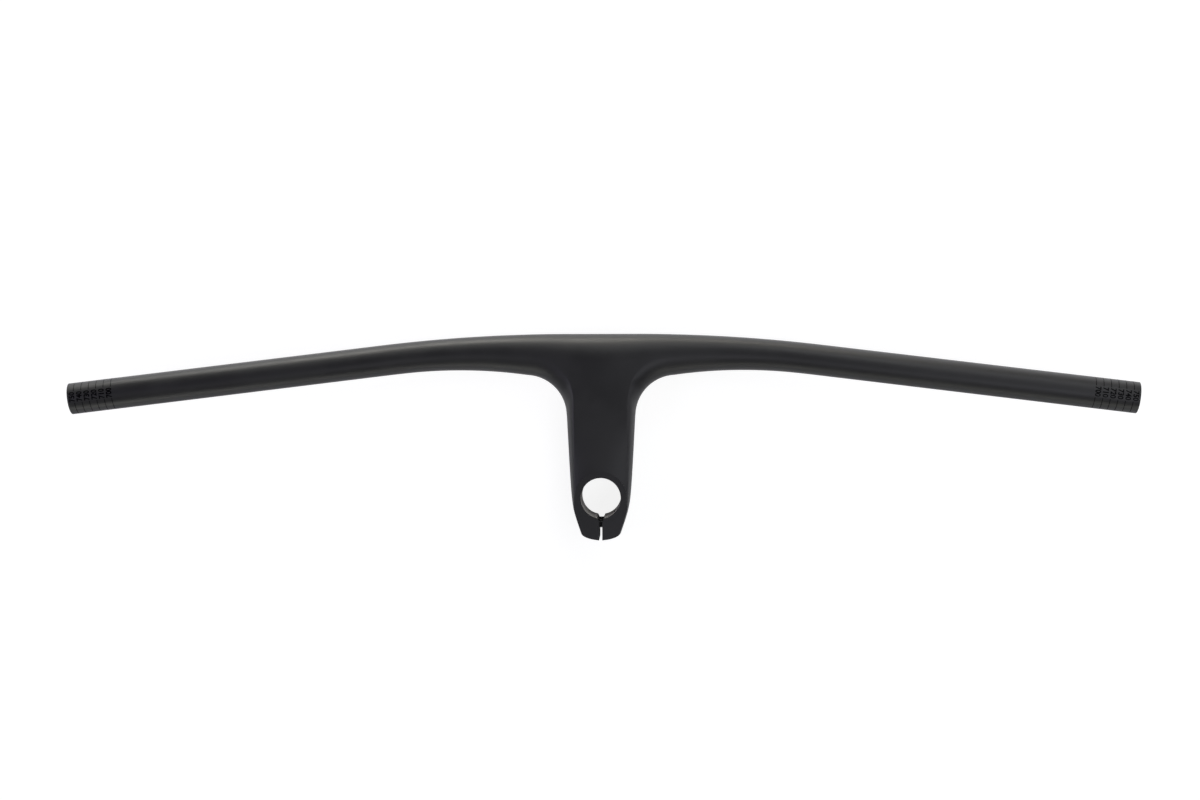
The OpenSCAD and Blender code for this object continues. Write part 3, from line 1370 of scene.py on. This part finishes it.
@dataclass
class ClampHardware:
    """The bolts, washers and barrel nuts of the steerer clamp, kept as the frame has them."""

    bolt: bpy.types.Material
    plain: bpy.types.Material
    smooth_angle: float = math.radians(30)

    def dress(self, nodes: dict[str, bpy.types.Object]) -> None:
        """Gives each fastener its finish.

        Args:
            nodes: The frame's nodes by name.
        """
        for name, node in nodes.items():
            if name == "bar_stem":
                continue
            chosen = self.bolt if "bolt" in name else self.plain
            node.data.materials.clear()
            node.data.materials.append(chosen)
            shade_smooth(node, self.smooth_angle)
            LOG.info("dressed %s", name)


@dataclass(frozen=True)
class SoftLight:
    """One rectangular lamp on a dome round the object, aimed at its middle.

    Angles are degrees. Azimuth turns from +X towards +Y.
    """

    name: str
    azimuth: float
    elevation: float
    power: float
    colour: Colour
    distance: float = 1.7
    size: tuple[float, float] = (0.9, 0.45)
    aim: tuple[float, float, float] = (0.0, 0.06, 0.01)

    def build(self) -> None:
        """Adds the lamp to the scene."""
        data = bpy.data.lights.new(self.name, "AREA")
        data.shape = "RECTANGLE"
        data.size, data.size_y = self.size
        data.energy = self.power
        data.color = self.colour
        lamp = bpy.data.objects.new(self.name, data)
        turn, rise = math.radians(self.azimuth), math.radians(self.elevation)
        level = math.cos(rise)
        ray = Vector((level * math.cos(turn), level * math.sin(turn), math.sin(rise)))
        lamp.location = Vector(self.aim) + self.distance * ray
        lamp.rotation_euler = (-ray).to_track_quat("-Z", "Y").to_euler()
        lamp.visible_camera = False
        bpy.context.scene.collection.objects.link(lamp)


@dataclass
class Studio:
    """White sweep, soft lamps and the camera above the bar.

    The floor shows white to the camera. In reflections it is bright in front of the bar and
    dim behind it, over mirror_span along Y. camera_tilt is in degrees.
    """

    floor_z: float
    camera_place: tuple[float, float, float] = (27.22 * MM, 84.68 * MM, 1200 * MM)
    camera_tilt: tuple[float, float, float] = (-0.709, 1.337, -0.077)
    camera_range: float = 50.0
    focal_px: float = 1654.5
    photo_width: float = 1200.0
    sensor: float = 36.0
    lamps: tuple[SoftLight, ...] = (
        SoftLight("front_low", 90, 3, 7.0, (1.0, 0.92, 0.76)),
        SoftLight("front_left_low", 105, 3, 18.5, (1.0, 1.0, 0.945)),
        SoftLight("front_high", 75, 38, 4.9, (0.95, 0.97, 1.0)),
        SoftLight("left_low", 180, 22, 4.8, (0.92, 0.93, 1.0)),
        SoftLight("left_high", 180, 45, 4.0, (0.78, 0.74, 1.0)),
        SoftLight("right_low", 0, 22, 3.6, (0.9, 0.9, 1.0)),
        SoftLight("right_near", 28, 52, 1.7, (0.95, 0.97, 1.0), 1.0, (0.7, 0.7)),
        SoftLight("rear_left_low", 250, 10, 5.2, (0.99, 1.0, 0.92)),
        SoftLight("rear_right_low", 290, 10, 3.6, (0.99, 1.0, 0.89)),
        SoftLight("rear_left_high", 230, 65, 0.8, (1.0, 1.0, 1.0)),
        SoftLight("rear_right_high", 310, 65, 4.6, (0.92, 0.93, 1.0)),
    )
    floor_half: float = 4.0
    floor_depth: float = 0.02
    floor_matt: float = 0.8
    floor_seen: float = 0.28
    floor_glow: float = 0.865
    mirror_front: float = 0.9
    mirror_rear: float = 0.1
    mirror_span: tuple[float, float] = (0.03, 0.13)
    room_dim: float = 0.01
    room_white: float = 1.0

    def build(self) -> None:
        """Builds the floor, the world, the lamps and the camera."""
        scene = bpy.context.scene
        scene.view_settings.view_transform = "Standard"
        self._add_floor()
        self._light_world(scene)
        for lamp in self.lamps:
            lamp.build()
        self._add_camera(scene)

    def _add_camera(self, scene: bpy.types.Scene) -> None:
        """Adds the camera that takes the photograph's view.

        Args:
            scene: The scene to look at.
        """
        data = bpy.data.cameras.new("overhead")
        data.sensor_width = self.sensor
        data.lens = self.focal_px / self.photo_width * self.sensor
        data.clip_end = self.camera_range
        camera = bpy.data.objects.new("overhead", data)
        camera.location = self.camera_place
        camera.rotation_euler = tuple(math.radians(a) for a in self.camera_tilt)
        scene.collection.objects.link(camera)
        scene.camera = camera

    def _add_floor(self) -> None:
        """Adds a pale floor that keeps a faint shadow and shows white to the camera."""
        half = self.floor_half
        corners = [(-half, -half), (half, -half), (half, half), (-half, half)]
        floor = extruded("floor", corners, self.floor_z - self.floor_depth, self.floor_z)
        made = bpy.data.materials.new("white_sweep")
        made.use_nodes = True
        self._dress_floor(ShaderGraph(made.node_tree))
        floor.data.materials.append(made)

    def _dress_floor(self, graph: ShaderGraph) -> None:
        """Gives the floor its white for the camera, its glow in reflections and its matt grey.

        Args:
            graph: The material's nodes.
        """
        camera = graph.node("ShaderNodeLightPath", {}, {}, "Is Camera Ray")
        glossy = graph.node("ShaderNodeLightPath", {}, {}, "Is Glossy Ray")
        matt = graph.node("ShaderNodeBsdfDiffuse", {}, {"Color": grey(self.floor_matt)})
        faint = graph.node("ShaderNodeBsdfDiffuse", {}, {"Color": grey(self.floor_seen)})
        place = graph.node("ShaderNodeTexCoord", {}, {}, "Object")
        along = graph.node("ShaderNodeSeparateXYZ", {}, {0: place}, "Y")
        glow, rear, front = (
            graph.node("ShaderNodeEmission", {}, {"Color": grey(1.0), "Strength": strength})
            for strength in (self.floor_glow, self.mirror_rear, self.mirror_front)
        )
        forward = along.smooth_step(*self.mirror_span)
        mirror = graph.node("ShaderNodeMixShader", {}, {0: forward, 1: rear, 2: front})
        shown = graph.node("ShaderNodeAddShader", {}, {0: faint, 1: glow})
        mirrored = graph.node("ShaderNodeAddShader", {}, {0: matt, 1: mirror})
        other = graph.node("ShaderNodeMixShader", {}, {0: glossy, 1: matt, 2: mirrored})
        graph.finish(graph.node("ShaderNodeMixShader", {}, {0: camera, 1: other, 2: shown}))

    def _light_world(self, scene: bpy.types.Scene) -> None:
        """Gives a room that is white to the camera and nearly dark to the object.

        Args:
            scene: The scene to light.
        """
        world = bpy.data.worlds.new("studio")
        scene.world = world
        world.use_nodes = True
        graph = ShaderGraph(world.node_tree)
        dim, white = (
            graph.node("ShaderNodeBackground", {}, {"Color": grey(1.0), "Strength": strength})
            for strength in (self.room_dim, self.room_white)
        )
        seen = graph.node("ShaderNodeLightPath", {}, {}, "Is Camera Ray")
        room = graph.node("ShaderNodeMixShader", {}, {0: seen, 1: dim, 2: white})
        graph.finish(room, "ShaderNodeOutputWorld")


def main() -> None:
    """Builds every piece of the scene in order."""
    logging.basicConfig(level=logging.INFO)
    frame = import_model()
    floor_z = min(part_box(name)[0].z for name in frame["nodes"])
    Studio(floor_z).build()
    shell = MouldedShell(LacqueredCarbon().material(), SandedLaminateAndPaintedReflection().material())
    LOG.info("built %s", shell.build().name)
    ink = PrintedInk().material()
    for side in Side:
        LOG.info("built %s", WidthScale(shell, side, ink).build().name)
    bolt = TurnedSteel("black_bolt_steel", (0.012, 0.012, 0.013), 0.6, 0.38)
    plain = TurnedSteel("plain_steel", (0.42, 0.42, 0.43), 1.0, 0.32)
    ClampHardware(bolt.material(), plain.material()).dress(frame["nodes"])


if __name__ == "__main__":
    main()
